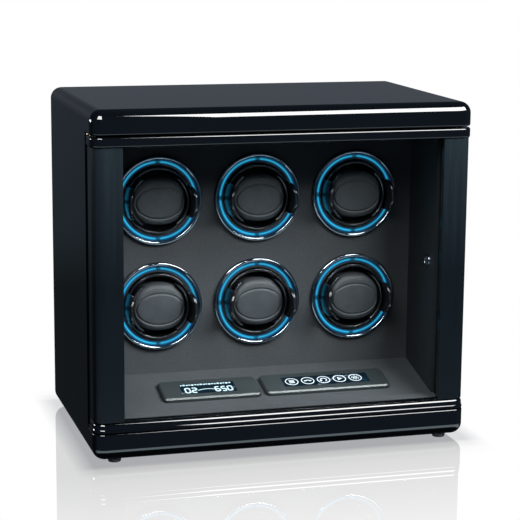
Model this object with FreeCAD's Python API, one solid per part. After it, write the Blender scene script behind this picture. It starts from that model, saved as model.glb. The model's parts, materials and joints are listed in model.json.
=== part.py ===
import FreeCAD, Part
import math
import os

# Six-place watch winder box.  Millimetres, +Z up, front towards -Y, origin at the
# centre of the footprint on the plane that the feet stand on.

# ---- driving dimensions: case ----
WIDTH = 374.0
DEPTH = 236.0
HEIGHT = 336.0
FOOT_HEIGHT = 4.0
BASE_TOP = 30.5
LID_BOTTOM = 312.7
PLAN_RADIUS = 12.0
EDGE_RADIUS = 11.0
EASE = 1.6
SIDE_THICKNESS = 20.0
LINER = 4.0
BACK_THICKNESS = 6.0
BACK_RECESS = 1.0
BACK_REBATE = 8.0

# ---- driving dimensions: door ----
DOOR_DEPTH = 32.0
DOOR_GAP = 1.0
DOOR_BOTTOM = 31.7
DOOR_TOP = 311.2
BOTTOM_RAIL = 9.6
TOP_RAIL = 10.0
RAIL_ROUND = 2.0
RAIL_SHOULDER = 4.5
BEAD_HEIGHT = 5.2
BEAD_ROUND = 5.0
RAIL_STEP = 0.8
STILE_FACE = 29.5
STILE_WALL = 21.0
STILE_INSET = 1.2
FLANGE_THICKNESS = 7.0
GLASS_THICKNESS = 4.0
GLASS_GROOVE = 4.8
GLASS_CLEARANCE = 0.2
BEAD_SIZE = 3.5
STRIP_THICKNESS = 0.8
PIVOT_INSET = 6.0
PIN_RADIUS = 2.5
RUNNING_CLEARANCE = 0.05
BUSH_RADIUS = 4.5
BUSH_COLLAR = 5.8
BUSH_DEPTH = 10.0
PIN_REACH = 12.5

# ---- driving dimensions: inside ----
FASCIA_FRONT = -12.0
FASCIA_THICKNESS = 6.0
FOLD_Z = 58.6
SLOPE = math.radians(14.1)
CUP_PITCH = 101.8
UPPER_ROW_Z = 234.4
LOWER_ROW_Z = 127.9
RING_FRONT = -16.5
RING_OUTER = 44.5
RING_INNER = 40.8
HOUSING_OUTER = 42.0
HOUSING_INNER = 40.5
BAFFLE_OUTER = 36.2
BAFFLE_INNER = 34.6
HOUSING_BACK = 40.0
LIGHT_FRONT = -13.0
LIGHT_BACK = -9.5
ROTOR_OUTER = 33.5
ROTOR_WALL = 2.6
ROTOR_FLOOR = 30.0
RIM_RADIUS = 0.9
JAW_INNER = 30.4
JAW_OUTER = 35.0
JAW_ROUND = 2.2
JAW_FRONT = -41.5
JAW_HALF_HEIGHT = 15.7
JAW_CORNER = 12.0
PILLOW_RADIUS = 27.0
PILLOW_HALF_HEIGHT = 24.5
PILLOW_FRONT = -24.0
PILLOW_BACK = 18.0
FRAME_THICKNESS = 2.2

# ---- driving dimensions: drive ----
SPINDLE_RADIUS = 4.0
SPINDLE_END = 61.0
BELT_SIZE = 2.4
BELT_CLEARANCE = 0.3
ROTOR_GROOVE = 16.5
MOTOR_GROOVE = 4.5
FLANGE_LIP = 3.0
PULLEY_WIDTH = 5.0
UPPER_BELT_Y = 50.0
LOWER_BELT_Y = 56.0
BRACKET_BACK = 65.0
BRACKET_THICKNESS = 2.5
MOTOR_END = 100.0

# ---- driving dimensions: lock ----
LOCK_Y = -66.8
LOCK_Z = 172.4
BARREL_RADIUS = 6.5
PLUG_RADIUS = 4.5
COLLAR_RADIUS = 9.0
COLLAR_THICKNESS = 1.5
CAM_X = 171.0
CAM_THICKNESS = 3.0
CLAW_INNER = 24.2
CLAW_OUTER = 27.2
KEEPER_BAR = 3.0

# ---- worked out ----
HALF_W = WIDTH / 2
FRONT = -DEPTH / 2
BACK = DEPTH / 2
DOOR_BACK = FRONT + DOOR_DEPTH
CASE_FRONT = DOOR_BACK + DOOR_GAP
PANEL_INNER = HALF_W - SIDE_THICKNESS
WALL_X = PANEL_INNER - LINER
CEILING_Z = LID_BOTTOM - LINER
FASCIA_BACK = FASCIA_FRONT + FASCIA_THICKNESS
BACK_FACE = BACK - BACK_RECESS
BACK_INNER = BACK_FACE - BACK_THICKNESS
PIVOT_X = -HALF_W + PIVOT_INSET
PIVOT_Y = DOOR_BACK - PIVOT_INSET
GLASS_BACK = FRONT + FLANGE_THICKNESS + GLASS_CLEARANCE + GLASS_THICKNESS
ROTOR_INNER = ROTOR_OUTER - ROTOR_WALL
MOTOR_Z = (UPPER_ROW_Z + LOWER_ROW_Z) / 2
CUPS = [(i * CUP_PITCH, z) for z in (UPPER_ROW_Z, LOWER_ROW_Z) for i in (-1, 0, 1)]

X_AXIS = FreeCAD.Vector(1, 0, 0)
Y_AXIS = FreeCAD.Vector(0, 1, 0)
Z_AXIS = FreeCAD.Vector(0, 0, 1)


def point(x, y, z):
    return FreeCAD.Vector(x, y, z)


def box(x0, x1, y0, y1, z0, z1):
    return Part.makeBox(x1 - x0, y1 - y0, z1 - z0, point(x0, y0, z0))


def rod_x(y, z, radius, x0, x1):
    return Part.makeCylinder(radius, x1 - x0, point(x0, y, z), X_AXIS)


def rod_y(x, z, radius, y0, y1):
    return Part.makeCylinder(radius, y1 - y0, point(x, y0, z), Y_AXIS)


def rod_z(x, y, radius, z0, z1):
    return Part.makeCylinder(radius, z1 - z0, point(x, y, z0), Z_AXIS)


def tube_y(x, z, inner, outer, y0, y1):
    return rod_y(x, z, outer, y0, y1).cut(rod_y(x, z, inner, y0 - 1, y1 + 1))


def prism(points, direction):
    """A polygon swept in a straight line; the points are 3-D and planar."""
    outline = Part.makePolygon([point(*p) for p in points + points[:1]])
    return Part.Face(outline).extrude(direction)


def edges_at_z(shape, z):
    return [e for e in shape.Edges if e.BoundBox.ZLength < 1e-4 and abs(e.BoundBox.ZMin - z) < 1e-4]


def upright_edge(shape, x, y):
    """The vertical edge of a block that stands at x, y."""
    for edge in shape.Edges:
        middle = edge.BoundBox.Center
        if edge.BoundBox.ZLength > 1 and abs(middle.x - x) < 1e-4 and abs(middle.y - y) < 1e-4:
            return edge
    raise ValueError("no upright edge at %s, %s" % (x, y))


def block(x0, x1, y0, y1, z0, z1, corners):
    """A block with rounded upright edges; corners holds (x, y, radius)."""
    shape = box(x0, x1, y0, y1, z0, z1)
    for x, y, radius in corners:
        shape = shape.makeFillet(radius, [upright_edge(shape, x, y)])
    return shape


def union(shapes):
    result = shapes[0]
    for shape in shapes[1:]:
        result = result.fuse(shape)
    return result.removeSplitter()


def cut_all(shape, tools):
    for tool in tools:
        shape = shape.cut(tool)
    return shape


def mirrored_x(shape):
    return shape.mirror(point(0, 0, 0), X_AXIS)


def save(name, *shapes):
    """Write one node; each shape is a separate solid."""
    solids = [solid for shape in shapes for solid in shape.Solids]
    for solid in solids:
        if not solid.isValid():
            raise ValueError(name + " is not a valid solid")
    result = solids[0] if len(solids) == 1 else Part.makeCompound(solids)
    result.exportStep("parts/%s.step" % name)


# ---- case ----
def case_block(z0, z1):
    corners = [(x, y, PLAN_RADIUS) for x in (-HALF_W, HALF_W) for y in (FRONT, BACK)]
    return block(-HALF_W, HALF_W, FRONT, BACK, z0, z1, corners)


def eased_in_front(shape, z):
    """Ease the edge at height z, only where it overhangs the door."""
    eased = shape.makeFillet(EASE, edges_at_z(shape, z))
    ahead = box(-WIDTH, WIDTH, -DEPTH, CASE_FRONT, -1, HEIGHT + 1)
    return union([eased.common(ahead), shape.cut(ahead)])


def top_panel():
    shape = case_block(LID_BOTTOM, HEIGHT)
    shape = shape.makeFillet(EDGE_RADIUS, edges_at_z(shape, HEIGHT))
    shape = eased_in_front(shape, LID_BOTTOM)
    return shape.cut(rod_z(PIVOT_X, PIVOT_Y, BUSH_RADIUS, LID_BOTTOM - 1, LID_BOTTOM + BUSH_DEPTH))


def base_panel():
    shape = case_block(FOOT_HEIGHT, BASE_TOP)
    shape = shape.makeFillet(EDGE_RADIUS, edges_at_z(shape, FOOT_HEIGHT))
    shape = eased_in_front(shape, BASE_TOP)
    shape = shape.cut(rod_z(PIVOT_X, PIVOT_Y, BUSH_RADIUS, BASE_TOP - BUSH_DEPTH, BASE_TOP + 1))
    return cut_all(shape, [rod_z(x, y, SHANK_RADIUS, FOOT_HEIGHT - 1, SHANK_TOP) for x, y in FOOT_PLACES])


def right_panel():
    corners = [(HALF_W, BACK, PLAN_RADIUS)]
    shape = block(PANEL_INNER, HALF_W, CASE_FRONT, BACK, BASE_TOP, LID_BOTTOM, corners)
    rebate = box(PANEL_INNER - 1, PANEL_INNER + BACK_REBATE, BACK_INNER, BACK + 1, 0, HEIGHT)
    return cut_all(shape, [rebate] + screw_shanks(1))


def left_panel():
    return mirrored_x(right_panel())


def lock_cutouts():
    pocket = box(CAM_X - 1, CAM_X + 4, CASE_FRONT - 1, LOCK_Y + 14, LOCK_Z - 10, LOCK_Z + 29.5)
    inner = rod_x(LOCK_Y, LOCK_Z, BARREL_RADIUS, WALL_X - 1, CAM_X - 1)
    outer = rod_x(LOCK_Y, LOCK_Z, BARREL_RADIUS, CAM_X + 4, HALF_W + 1)
    collar = rod_x(LOCK_Y, LOCK_Z, COLLAR_RADIUS, HALF_W - COLLAR_THICKNESS, HALF_W + 1)
    return [pocket, inner, outer, collar]


def back_panel():
    edge = PANEL_INNER + BACK_REBATE - 0.2
    shape = box(-edge, edge, BACK_INNER, BACK_FACE, BASE_TOP + 0.3, LID_BOTTOM - 0.3)
    socket = rod_y(SOCKET_X, SOCKET_Z, 5.5, BACK_INNER - 1, BACK_FACE + 1)
    return cut_all(shape, [socket] + screw_shanks(1) + screw_shanks(-1))


SCREW_X = PANEL_INNER + BACK_REBATE / 2
SCREW_HEIGHTS = [BASE_TOP + 20 + i * (LID_BOTTOM - BASE_TOP - 40) / 3 for i in range(4)]


def screw_shanks(side):
    return [rod_y(side * SCREW_X, z, 1.4, BACK_INNER - 8, BACK_FACE) for z in SCREW_HEIGHTS]


def back_screws():
    screws = []
    for side in (-1, 1):
        x = side * SCREW_X
        for z, shank in zip(SCREW_HEIGHTS, screw_shanks(side)):
            head = rod_y(x, z, 2.8, BACK_FACE, BACK)
            slot = box(x - 1.9, x + 1.9, BACK - 0.5, BACK + 1, z - 0.35, z + 0.35)
            cross = box(x - 0.35, x + 0.35, BACK - 0.5, BACK + 1, z - 1.9, z + 1.9)
            screws.append(cut_all(union([head, shank]), [slot, cross]))
    return screws


FOOT_PLACES = [(x, y) for x in (-165, 165) for y in (-103, 103)]
SHANK_RADIUS = 1.6
SHANK_TOP = 14.0


def foot(x, y):
    shape = Part.makeCone(6.0, 6.8, FOOT_HEIGHT, point(x, y, 0), Z_AXIS)
    shape = shape.makeFillet(0.6, edges_at_z(shape, 0))
    return cut_all(shape, [rod_z(x, y, SHANK_RADIUS, -1, 5), rod_z(x, y, 3.2, -1, 2)])


def foot_screw(x, y):
    head = rod_z(x, y, 3.0, 0.6, 2)
    shank = rod_z(x, y, SHANK_RADIUS, 2, SHANK_TOP)
    slot = box(x - 2, x + 2, y - 0.4, y + 0.4, 0, 1.1)
    return union([head, shank]).cut(slot)


# ---- lining ----
def floor_z(y, drop=0.0):
    return FOLD_Z - (FASCIA_FRONT - y) * math.tan(SLOPE) - drop


def fascia_board():
    shape = box(-WALL_X, WALL_X, FASCIA_FRONT, FASCIA_BACK, FOLD_Z - 10, CEILING_Z)
    return cut_all(shape, [rod_y(x, z, HOUSING_OUTER, -20, 0) for x, z in CUPS])


def ceiling_liner():
    return box(-PANEL_INNER, PANEL_INNER, CASE_FRONT, FASCIA_BACK, CEILING_Z, LID_BOTTOM)


def right_liner():
    return box(WALL_X, PANEL_INNER, CASE_FRONT, FASCIA_BACK, BASE_TOP, CEILING_Z)


FLOOR_DROP = LINER / math.cos(SLOPE)


def console_floor():
    outline = [(-WALL_X, y, floor_z(y, drop)) for y, drop in
               ((FASCIA_FRONT, 0), (CASE_FRONT, 0), (CASE_FRONT, FLOOR_DROP), (FASCIA_FRONT, FLOOR_DROP))]
    return prism(outline, point(2 * WALL_X, 0, 0))


def front_sill():
    sill_back = CASE_FRONT + 6
    outline = [(-WALL_X, CASE_FRONT, BASE_TOP), (-WALL_X, sill_back, BASE_TOP),
               (-WALL_X, sill_back, floor_z(sill_back, FLOOR_DROP)),
               (-WALL_X, CASE_FRONT, floor_z(CASE_FRONT, FLOOR_DROP))]
    return prism(outline, point(2 * WALL_X, 0, 0))


# ---- console: built flat with the fold at y 0 and the floor at z 0, then tilted ----
PLATE_REAR = -25.5
PLATE_FRONT = -61.5
PLATE_HEIGHT = 4.5
PLATE_CORNER = 5.0
WINDOW_DEPTH = 1.2
DISPLAY_X = (-109.2, -9.8)
DISPLAY_WINDOW = (-89.0, -33.5, -53.5, -33.5)
TOUCH_X = (-5.0, 125.0)
TOUCH_WINDOW = (16.0, 106.0, -52.5, -33.5)


def on_floor(shape):
    shape = shape.copy()
    shape.rotate(point(0, 0, 0), X_AXIS, math.degrees(SLOPE))
    shape.translate(point(0, FASCIA_FRONT, FOLD_Z))
    return shape


def console_plate(x_range, window):
    x0, x1 = x_range
    corners = [(x, y, PLATE_CORNER) for x in x_range for y in (PLATE_FRONT, PLATE_REAR)]
    shape = block(x0, x1, PLATE_FRONT, PLATE_REAR, 0, PLATE_HEIGHT, corners)
    shape = shape.makeChamfer(1.4, edges_at_z(shape, PLATE_HEIGHT))
    recess = box(*window, PLATE_HEIGHT - WINDOW_DEPTH, PLATE_HEIGHT + 1)
    return on_floor(shape.cut(recess))


def console_window(window):
    return on_floor(box(*window, PLATE_HEIGHT - WINDOW_DEPTH, PLATE_HEIGHT - 0.2))


def control_board():
    top = -LINER - 3.0
    board = box(-105, 118, -58, -28, top - 1.6, top)
    legs = [rod_z(x, y, 2.5, top, -LINER) for x in (-98, 111) for y in (-52, -34)]
    connector = box(-10, 14, -44, -34, top, top + 2.4)
    return on_floor(union([board, connector] + legs))


# ---- cups ----
def bezel_ring(x, z):
    shape = tube_y(x, z, RING_INNER, RING_OUTER, RING_FRONT, FASCIA_FRONT)
    front_edges = [e for e in shape.Edges if abs(e.BoundBox.YMax - RING_FRONT) < 1e-4]
    return shape.makeFillet(1.5, front_edges)


def cup_housing(x, z):
    outer = tube_y(x, z, HOUSING_INNER, HOUSING_OUTER, FASCIA_FRONT, HOUSING_BACK)
    baffle = tube_y(x, z, BAFFLE_INNER, BAFFLE_OUTER, LIGHT_FRONT + 0.5, HOUSING_BACK)
    flange = tube_y(x, z, HOUSING_OUTER - 0.5, HOUSING_OUTER + 4, FASCIA_BACK, FASCIA_BACK + 3)
    wall = tube_y(x, z, 8.0, HOUSING_OUTER, HOUSING_BACK - 3, HOUSING_BACK)
    return union([outer, baffle, flange, wall])


def light_ring(x, z):
    """Four quarter arcs of light guide with a thin gap between them."""
    ring = tube_y(x, z, BAFFLE_OUTER, HOUSING_INNER, LIGHT_FRONT, LIGHT_BACK)
    gap = 0.5
    upright = box(x - gap, x + gap, LIGHT_FRONT - 1, LIGHT_BACK + 1, z - 45, z + 45)
    level = box(x - 45, x + 45, LIGHT_FRONT - 1, LIGHT_BACK + 1, z - gap, z + gap)
    return cut_all(ring, [upright, level])


def rotor_bearing(x, z):
    bore = SPINDLE_RADIUS + RUNNING_CLEARANCE
    sleeve = tube_y(x, z, bore, 8.0, HOUSING_BACK - 4, HOUSING_BACK + 5)
    return union([sleeve, tube_y(x, z, bore, 10.0, HOUSING_BACK, HOUSING_BACK + 2)])


def belt_y(cup):
    return UPPER_BELT_Y if cup < 3 else LOWER_BELT_Y


def pulley(x, z, bore, groove, y0):
    shape = tube_y(x, z, bore, groove + FLANGE_LIP, y0, y0 + PULLEY_WIDTH)
    return shape.cut(tube_y(x, z, groove, groove + FLANGE_LIP + 1, y0 + 1, y0 + PULLEY_WIDTH - 1))


JAW_BACK = RING_FRONT + 1.0


def jaw_prism(x, z):
    """The side view of the two jaws: a tongue with rounded front corners."""
    shape = box(x - 40, x + 40, JAW_FRONT, 0, z - JAW_HALF_HEIGHT, z + JAW_HALF_HEIGHT)
    front = [e for e in shape.Edges if e.BoundBox.XLength > 1 and abs(e.BoundBox.YMax - JAW_FRONT) < 1e-4]
    return shape.makeFillet(JAW_CORNER, front)


def jaws(x, z):
    """Two thick curved tongues with a full round all the way about their free edge."""
    shape = tube_y(x, z, JAW_INNER, JAW_OUTER, JAW_FRONT, JAW_BACK).common(jaw_prism(x, z))
    curved = [e for e in shape.Edges if e.BoundBox.YMin < JAW_BACK - 0.1 and not is_radial(e)]
    return shape.makeFillet(JAW_ROUND, curved)


def is_radial(edge):
    """True for the short edges that cross the thickness of a jaw."""
    return edge.Length < JAW_OUTER - JAW_INNER + 0.5


def rotor(x, z):
    drum = tube_y(x, z, ROTOR_INNER, ROTOR_OUTER, RING_FRONT, ROTOR_FLOOR)
    drum = drum.makeFillet(RIM_RADIUS, [e for e in drum.Edges if abs(e.BoundBox.YMax - RING_FRONT) < 1e-3])
    floor = rod_y(x, z, ROTOR_OUTER, ROTOR_FLOOR - 3, ROTOR_FLOOR)
    spindle = rod_y(x, z, SPINDLE_RADIUS, ROTOR_FLOOR, SPINDLE_END)
    return union([drum, jaws(x, z), floor, spindle])


def rounded_disc(x, z, radius, half_height, y0, y1):
    """A disc with flat top and bottom."""
    flats = box(x - radius - 1, x + radius + 1, y0, y1, z - half_height, z + half_height)
    return rod_y(x, z, radius, y0, y1).common(flats)


def pillow(x, z):
    shape = rounded_disc(x, z, PILLOW_RADIUS, PILLOW_HALF_HEIGHT, PILLOW_FRONT, PILLOW_BACK)
    front_edges = [e for e in shape.Edges if abs(e.BoundBox.YMax - PILLOW_FRONT) < 1e-4]
    return shape.makeFillet(4.0, front_edges)


FRAME_INNER = PILLOW_RADIUS + 0.3
FRAME_HALF_HEIGHT = 22.0
FRAME_ROUND = 1.0


def pillow_frame(x, z):
    """A U-shaped saddle: two curved cheeks joined by a back plate."""
    outer = FRAME_INNER + FRAME_THICKNESS
    back = PILLOW_BACK + FRAME_THICKNESS
    shell = rod_y(x, z, outer, PILLOW_FRONT, back)
    shell = shell.cut(rod_y(x, z, FRAME_INNER, PILLOW_FRONT - 1, PILLOW_BACK))
    shell = shell.makeFillet(FRAME_ROUND, [e for e in shell.Edges if abs(e.BoundBox.YMax - PILLOW_FRONT) < 1e-3])
    return shell.common(box(x - 40, x + 40, -60, 60, z - FRAME_HALF_HEIGHT, z + FRAME_HALF_HEIGHT))


# ---- drive ----
def belt_outline(x, z0, r0, z1, r1):
    """A face bounded by two arcs and their outer tangents; circle 0 is the larger."""
    span = z1 - z0
    lean = math.asin((r0 - r1) / abs(span))
    up = math.copysign(1, span)

    def tangent(z, r, side):
        return point(x + side * r * math.cos(lean), 0, z + up * r * math.sin(lean))

    far_0 = point(x, 0, z0 - up * r0)
    far_1 = point(x, 0, z1 + up * r1)
    a0, b0 = tangent(z0, r0, -1), tangent(z0, r0, 1)
    a1, b1 = tangent(z1, r1, -1), tangent(z1, r1, 1)
    edges = [Part.Arc(a0, far_0, b0).toShape(), Part.LineSegment(b0, b1).toShape(),
             Part.Arc(b1, far_1, a1).toShape(), Part.LineSegment(a1, a0).toShape()]
    return Part.Face(Part.Wire(edges))


def drive_belt(x, z, y0):
    inner_0 = ROTOR_GROOVE + BELT_CLEARANCE
    inner_1 = MOTOR_GROOVE + BELT_CLEARANCE
    outer = belt_outline(x, z, inner_0 + BELT_SIZE, MOTOR_Z, inner_1 + BELT_SIZE)
    inner = belt_outline(x, z, inner_0, MOTOR_Z, inner_1)
    start = y0 + (PULLEY_WIDTH - BELT_SIZE) / 2
    shape = outer.cut(inner).extrude(point(0, BELT_SIZE, 0))
    shape.translate(point(0, start, 0))
    return shape


def motor_pulley(x):
    """Two grooves, one per belt, on the output shaft."""
    grooves = [pulley(x, MOTOR_Z, 1.0, MOTOR_GROOVE, y) for y in (UPPER_BELT_Y, LOWER_BELT_Y)]
    spacer = rod_y(x, MOTOR_Z, MOTOR_GROOVE, UPPER_BELT_Y, LOWER_BELT_Y + PULLEY_WIDTH)
    shaft = rod_y(x, MOTOR_Z, 2.0, UPPER_BELT_Y - 2, BRACKET_BACK + 7)
    return union(grooves + [spacer, shaft])


def motor_bracket(x):
    y0 = BRACKET_BACK - BRACKET_THICKNESS
    plate = box(x - 36, x + 36, y0, BRACKET_BACK, MOTOR_Z - 40, MOTOR_Z + 40)
    posts = [rod_y(x + dx, MOTOR_Z + dz, 3.0, HOUSING_BACK, y0) for dx in (-30, 30) for dz in (-34, 34)]
    hole = rod_y(x, MOTOR_Z, 5.0, y0 - 1, BRACKET_BACK + 1)
    return union([plate] + posts).cut(hole)


def gear_motor(x):
    gearbox = block(x - 13, x + 13, BRACKET_BACK, BRACKET_BACK + 14, MOTOR_Z - 13, MOTOR_Z + 13, [])
    can = rod_y(x, MOTOR_Z, 11.0, BRACKET_BACK + 14, MOTOR_END)
    bore = rod_y(x, MOTOR_Z, 2.0 + RUNNING_CLEARANCE, BRACKET_BACK - 1, BRACKET_BACK + 8)
    return union([gearbox, can]).cut(bore)


# ---- power socket ----
SOCKET_X = 120.0
SOCKET_Z = 60.0


def power_socket():
    flange = rod_y(SOCKET_X, SOCKET_Z, 8.0, BACK_FACE, BACK)
    barrel = rod_y(SOCKET_X, SOCKET_Z, 5.5, BACK_FACE - 16, BACK_FACE)
    bore = rod_y(SOCKET_X, SOCKET_Z, 2.85, BACK - 11, BACK + 1)
    pin = rod_y(SOCKET_X, SOCKET_Z, 1.05, BACK - 12, BACK - 1)
    return union([union([flange, barrel]).cut(bore), pin])


# ---- door ----
def door_block(z0, z1, inset=0.0):
    left, right = -HALF_W + inset, HALF_W - inset
    front = FRONT + inset
    corners = [(left, front, PLAN_RADIUS - inset), (right, front, PLAN_RADIUS - inset),
               (left, DOOR_BACK, PIVOT_INSET - inset), (right, DOOR_BACK, PIVOT_INSET - inset)]
    return block(left, right, front, DOOR_BACK, z0, z1, corners)


def rounded_rail(z0, z1, inset, low_round, high_round):
    shape = door_block(z0, z1, inset)
    shape = shape.makeFillet(low_round, edges_at_z(shape, z0))
    return shape.makeFillet(high_round, edges_at_z(shape, z1))


def top_rail():
    shape = rounded_rail(DOOR_TOP - TOP_RAIL, DOOR_TOP, 0, RAIL_ROUND, RAIL_ROUND)
    return cut_all(shape, [glass_groove(), pivot_hole()])


def bottom_rail():
    """The face stands back above a bead, of which only the lower part shows."""
    top = DOOR_BOTTOM + BOTTOM_RAIL
    face = rounded_rail(DOOR_BOTTOM, top, RAIL_STEP, EASE, RAIL_SHOULDER)
    bead = door_block(DOOR_BOTTOM, DOOR_BOTTOM + BEAD_HEIGHT)
    bead = bead.makeFillet(BEAD_ROUND, edges_at_z(bead, DOOR_BOTTOM + BEAD_HEIGHT))
    return cut_all(union([face, bead]), [glass_groove(), pivot_hole()])


def glass_groove():
    edge = HALF_W - STILE_WALL
    return box(-edge, edge, FRONT + FLANGE_THICKNESS, GLASS_BACK + GLASS_CLEARANCE,
               DOOR_BOTTOM + BOTTOM_RAIL - GLASS_GROOVE, DOOR_TOP - TOP_RAIL + GLASS_GROOVE)


def pivot_hole():
    low = rod_z(PIVOT_X, PIVOT_Y, PIN_RADIUS, 0, DOOR_BOTTOM + PIN_REACH + 0.5)
    return low.fuse(rod_z(PIVOT_X, PIVOT_Y, PIN_RADIUS, DOOR_TOP - PIN_REACH - 0.5, HEIGHT))


def right_stile():
    """An L-shaped post: a face flange in front and a thick side wall behind."""
    shape = door_block(DOOR_BOTTOM + BOTTOM_RAIL, DOOR_TOP - TOP_RAIL, STILE_INSET)
    middle = box(-WIDTH, HALF_W - STILE_FACE, -DEPTH, DEPTH, 0, HEIGHT)
    behind_flange = box(0, HALF_W - STILE_WALL, FRONT + FLANGE_THICKNESS, DEPTH, 0, HEIGHT)
    return cut_all(shape, [middle, behind_flange])


def left_stile():
    shape = door_block(DOOR_BOTTOM + BOTTOM_RAIL, DOOR_TOP - TOP_RAIL, STILE_INSET)
    middle = box(-HALF_W + STILE_FACE, WIDTH, -DEPTH, DEPTH, 0, HEIGHT)
    behind_flange = box(-HALF_W + STILE_WALL, 0, FRONT + FLANGE_THICKNESS, DEPTH, 0, HEIGHT)
    return cut_all(shape, [middle, behind_flange, pivot_hole()])


def door_glass():
    edge = HALF_W - STILE_WALL - 0.5
    bottom = DOOR_BOTTOM + BOTTOM_RAIL - GLASS_GROOVE + 0.3
    top = DOOR_TOP - TOP_RAIL + GLASS_GROOVE - 0.3
    return box(-edge, edge, GLASS_BACK - GLASS_THICKNESS, GLASS_BACK, bottom, top)


def glazing_bead(side):
    outer = HALF_W - STILE_WALL
    x0, x1 = sorted((side * (outer - BEAD_SIZE), side * outer))
    y0 = GLASS_BACK + GLASS_CLEARANCE
    return box(x0, x1, y0, y0 + BEAD_SIZE, DOOR_BOTTOM + BOTTOM_RAIL, DOOR_TOP - TOP_RAIL)


def glazing_strip():
    """A flocked strip on the bottom rail, from the glass to the back of the door."""
    edge = HALF_W - STILE_WALL - BEAD_SIZE
    top_of_rail = DOOR_BOTTOM + BOTTOM_RAIL
    return box(-edge, edge, GLASS_BACK + GLASS_CLEARANCE, DOOR_BACK - RAIL_SHOULDER - RAIL_STEP,
               top_of_rail, top_of_rail + STRIP_THICKNESS)


def pivot_pins():
    low = rod_z(PIVOT_X, PIVOT_Y, PIN_RADIUS, BASE_TOP - 8, DOOR_BOTTOM + PIN_REACH)
    high = rod_z(PIVOT_X, PIVOT_Y, PIN_RADIUS, DOOR_TOP - PIN_REACH, LID_BOTTOM + 8)
    return [low, high]


def pivot_bushes():
    bore = PIN_RADIUS + RUNNING_CLEARANCE
    low = union([rod_z(PIVOT_X, PIVOT_Y, BUSH_RADIUS, BASE_TOP - BUSH_DEPTH, BASE_TOP),
                 rod_z(PIVOT_X, PIVOT_Y, BUSH_COLLAR, BASE_TOP, DOOR_BOTTOM - 0.4)])
    high = union([rod_z(PIVOT_X, PIVOT_Y, BUSH_RADIUS, LID_BOTTOM, LID_BOTTOM + BUSH_DEPTH),
                  rod_z(PIVOT_X, PIVOT_Y, BUSH_COLLAR, DOOR_TOP + 0.6, LID_BOTTOM)])
    return [low.cut(rod_z(PIVOT_X, PIVOT_Y, bore, BASE_TOP - 8.3, DOOR_BOTTOM)),
            high.cut(rod_z(PIVOT_X, PIVOT_Y, bore, DOOR_TOP, LID_BOTTOM + 8.3))]


# ---- lock ----
BAR_Y = DOOR_BACK - 3.0


def keeper_recess():
    """Room in the stile for the keeper plate, its bar and the claw's sweep."""
    plate = box(CAM_X - 3.5, CAM_X + 6.5, DOOR_BACK - 1.5, DOOR_BACK + 1, LOCK_Z - 17, LOCK_Z + 27)
    sweep = box(CAM_X - 1, CAM_X + 4, DOOR_BACK - 10, DOOR_BACK + 1, LOCK_Z - 12, LOCK_Z + 22)
    bar = box(CAM_X - 3.5, CAM_X + 6.5, BAR_Y - 1.5, BAR_Y + 1.5, LOCK_Z - 1.5, LOCK_Z + 1.5)
    return [plate, sweep, bar]


def door_keeper():
    plate, sweep, bar = keeper_recess()
    plate = plate.common(box(0, WIDTH, DOOR_BACK - 2, DOOR_BACK, 0, HEIGHT))
    return union([plate.cut(sweep), bar])


def lock_barrels():
    bore = PLUG_RADIUS + RUNNING_CLEARANCE
    outer = union([rod_x(LOCK_Y, LOCK_Z, BARREL_RADIUS, CAM_X + 5, HALF_W),
                   rod_x(LOCK_Y, LOCK_Z, COLLAR_RADIUS, HALF_W - COLLAR_THICKNESS, HALF_W)])
    inner = rod_x(LOCK_Y, LOCK_Z, BARREL_RADIUS, WALL_X - 1.5, CAM_X - 2)
    inner_edges = [e for e in inner.Edges if abs(e.BoundBox.XMax - (WALL_X - 1.5)) < 1e-4]
    inner = inner.makeFillet(0.8, inner_edges)
    through = rod_x(LOCK_Y, LOCK_Z, bore, WALL_X - 5, HALF_W + 1)
    return [outer.cut(through), inner.cut(through)]


def lock_plug():
    shape = rod_x(LOCK_Y, LOCK_Z, PLUG_RADIUS, WALL_X - 1.2, HALF_W - 0.3)
    keyway = box(HALF_W - 6, HALF_W, LOCK_Y - 0.6, LOCK_Y + 0.6, LOCK_Z - 3, LOCK_Z + 3)
    slot = box(WALL_X - 2, WALL_X + 0.2, LOCK_Y - 0.6, LOCK_Y + 0.6, LOCK_Z - 3, LOCK_Z + 3)
    return cut_all(shape, [keyway, slot])


def lock_cam():
    """A hub, an arm and a claw that is part of a ring about the plug's axis."""
    x0, x1 = CAM_X, CAM_X + CAM_THICKNESS
    hub = rod_x(LOCK_Y, LOCK_Z, PLUG_RADIUS + 3, x0, x1)
    claw = rod_x(LOCK_Y, LOCK_Z, CLAW_OUTER, x0, x1).cut(rod_x(LOCK_Y, LOCK_Z, CLAW_INNER, x0 - 1, x1 + 1))
    reach = CLAW_OUTER + 5

    def ray(turn):
        """A point far out at an angle measured from the front towards the top."""
        return (x0, LOCK_Y - reach * math.cos(turn), LOCK_Z + reach * math.sin(turn))

    lead, trail, arm_start = (math.radians(a) for a in (75, 118, 106))
    claw_sector = prism([(x0, LOCK_Y, LOCK_Z), ray(lead), ray(trail)], point(CAM_THICKNESS, 0, 0))
    arm_sector = prism([(x0, LOCK_Y, LOCK_Z), ray(arm_start), ray(trail)], point(CAM_THICKNESS, 0, 0))
    arm = rod_x(LOCK_Y, LOCK_Z, CLAW_OUTER, x0, x1).common(arm_sector)
    shape = union([hub, arm, claw.common(claw_sector)])
    return shape.cut(rod_x(LOCK_Y, LOCK_Z, PLUG_RADIUS, x0 - 1, x1 + 1))


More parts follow.
